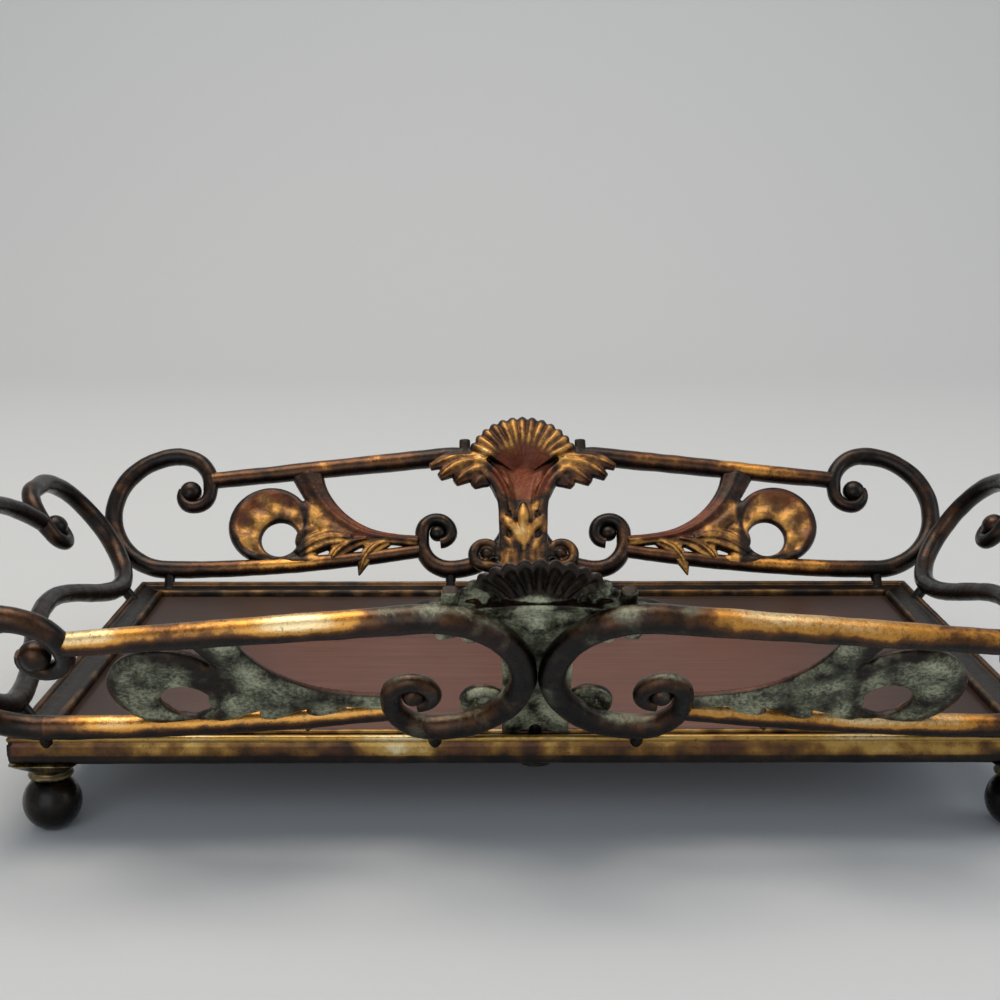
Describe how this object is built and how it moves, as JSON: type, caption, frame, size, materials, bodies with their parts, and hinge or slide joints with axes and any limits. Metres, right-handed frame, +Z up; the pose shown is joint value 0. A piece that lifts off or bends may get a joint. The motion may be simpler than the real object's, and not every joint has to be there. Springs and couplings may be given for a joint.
{
  "type": "guest towel tray",
  "caption": "Low rectangular guest-towel tray on ball feet, with outward-leaning openwork scroll galleries, leaf castings and shell crests.",
  "frame": {"origin": "on the table, under the middle of the tray", "axes": "+X to the right along the long side, +Y to the back, +Z up"},
  "size_m": [0.3124, 0.2056, 0.077],
  "materials": {
    "bar_bronze": "dark bronze patina, rubbed back to antique gold on the tops of the bars",
    "gilt_casting": "antique gold over dark recesses, verdigris on the outer faces",
    "moulding_bronze": "mottled gold and red-brown patina with a rubbed pale bead",
    "foot_bronze": "near-black bronze patina, soft gloss",
    "panel_wood": "stained reddish-brown, satin",
    "fixing_brass": "dull brass"
  },
  "bodies": {
    "root": {"base_panel": "panel_wood", "frame_front": "moulding_bronze", "frame_back": "moulding_bronze", "frame_left": "moulding_bronze", "frame_right": "moulding_bronze", "capital_front_left": "foot_bronze", "capital_front_right": "foot_bronze", "capital_back_left": "foot_bronze", "capital_back_right": "foot_bronze", "ball_foot_front_left": "foot_bronze", "ball_foot_front_right": "foot_bronze", "ball_foot_back_left": "foot_bronze", "ball_foot_back_right": "foot_bronze", "foot_studs": "fixing_brass", "crest_screws": "fixing_brass", "front_scroll_left": "bar_bronze", "front_scroll_right": "bar_bronze", "back_scroll_left": "bar_bronze", "back_scroll_right": "bar_bronze", "front_lower_rail_left": "bar_bronze", "front_lower_rail_right": "bar_bronze", "back_lower_rail_left": "bar_bronze", "back_lower_rail_right": "bar_bronze", "front_rail_left": "bar_bronze", "front_rail_right": "bar_bronze", "back_rail_left": "bar_bronze", "back_rail_right": "bar_bronze", "front_leaf_left": "gilt_casting", "front_leaf_right": "gilt_casting", "back_leaf_left": "gilt_casting", "back_leaf_right": "gilt_casting", "front_shell_crest": "gilt_casting", "back_shell_crest": "gilt_casting", "left_scroll_front": "bar_bronze", "left_scroll_back": "bar_bronze", "right_scroll_front": "bar_bronze", "right_scroll_back": "bar_bronze", "left_arch": "bar_bronze", "right_arch": "bar_bronze", "left_handle": "bar_bronze", "right_handle": "bar_bronze", "front_pegs": "bar_bronze", "back_pegs": "bar_bronze", "left_pegs": "bar_bronze", "right_pegs": "bar_bronze"}
  },
  "joints": []
}
